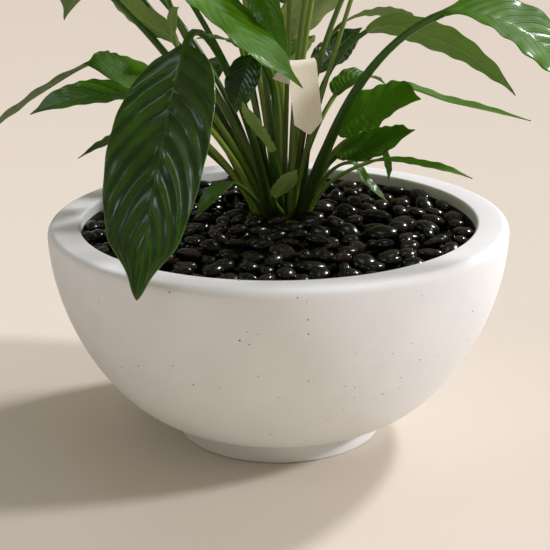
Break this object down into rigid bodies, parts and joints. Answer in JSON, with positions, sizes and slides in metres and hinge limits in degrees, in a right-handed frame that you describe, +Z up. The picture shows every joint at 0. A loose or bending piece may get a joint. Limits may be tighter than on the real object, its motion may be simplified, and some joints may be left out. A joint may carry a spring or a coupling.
{
  "type": "potted peace lily",
  "caption": "Peace lily with arching glossy leaves and white hooded flowers, in a low round white planter bowl dressed with black pebbles.",
  "frame": {"origin": "centre of the flat foot that the bowl stands on", "axes": "+Z up; front towards -Y, with the leaf that hangs over the rim at front left; +X to the right"},
  "size_m": [0.6116, 0.5498, 0.774],
  "materials": {
    "bowl": "matte cast fibre cement with fine pinholes",
    "gravel": "loose drainage gravel",
    "soil": "moist peat potting mix",
    "roots": "matted roots in potting mix",
    "pebbles": "polished black river pebbles",
    "rootstock": "fleshy green-brown rootstock",
    "leaf": "glossy waxy leaf, paler beneath",
    "flower_stalk": "smooth green stalk",
    "spathe": "satin white bract",
    "spadix": "beaded cream flower spike",
    "tag": "matte cream card"
  },
  "bodies": {
    "root": {"crown": "rootstock", "drainage_gravel": "gravel", "flower_spadix_back": "spadix", "flower_spadix_left": "spadix", "flower_spadix_right": "spadix", "flower_spathe_back": "spathe", "flower_spathe_left": "spathe", "flower_spathe_right": "spathe", "flower_stalk_back": "flower_stalk", "flower_stalk_left": "flower_stalk", "flower_stalk_right": "flower_stalk", "leaf_arch_right": "leaf", "leaf_arm_left": "leaf", "leaf_blade_up_left": "leaf", "leaf_bright_right": "leaf", "leaf_bright_right_low": "leaf", "leaf_broad_back": "leaf", "leaf_cup_left": "leaf", "leaf_curl_front": "leaf", "leaf_curl_left": "leaf", "leaf_dark_centre": "leaf", "leaf_dark_right_up": "leaf", "leaf_drape_front": "leaf", "leaf_far_right_back": "leaf", "leaf_fold_right": "leaf", "leaf_hang_right": "leaf", "leaf_high_back": "leaf", "leaf_high_front": "leaf", "leaf_high_front_left": "leaf", "leaf_high_front_right": "leaf", "leaf_high_left": "leaf", "leaf_high_left_back": "leaf", "leaf_high_right": "leaf", "leaf_high_right_back": "leaf", "leaf_long_right": "leaf", "leaf_low_back": "leaf", "leaf_low_back_left": "leaf", "leaf_low_left": "leaf", "leaf_low_right": "leaf", "leaf_mid_back": "leaf", "leaf_mid_left_back": "leaf", "leaf_mid_right_back": "leaf", "leaf_nook_right": "leaf", "leaf_roof_centre": "leaf", "leaf_roof_right": "leaf", "leaf_seedling_front": "leaf", "leaf_spear_centre": "leaf", "leaf_sunlit_centre": "leaf", "leaf_sweep_left": "leaf", "leaf_thin_right": "leaf", "leaf_top_centre": "leaf", "leaf_top_left_back": "leaf", "leaf_young_front": "leaf", "pebble_bed": "pebbles", "plant_tag": "tag", "planter_bowl": "bowl", "potting_soil": "soil", "root_ball": "roots"}
  },
  "joints": []
}
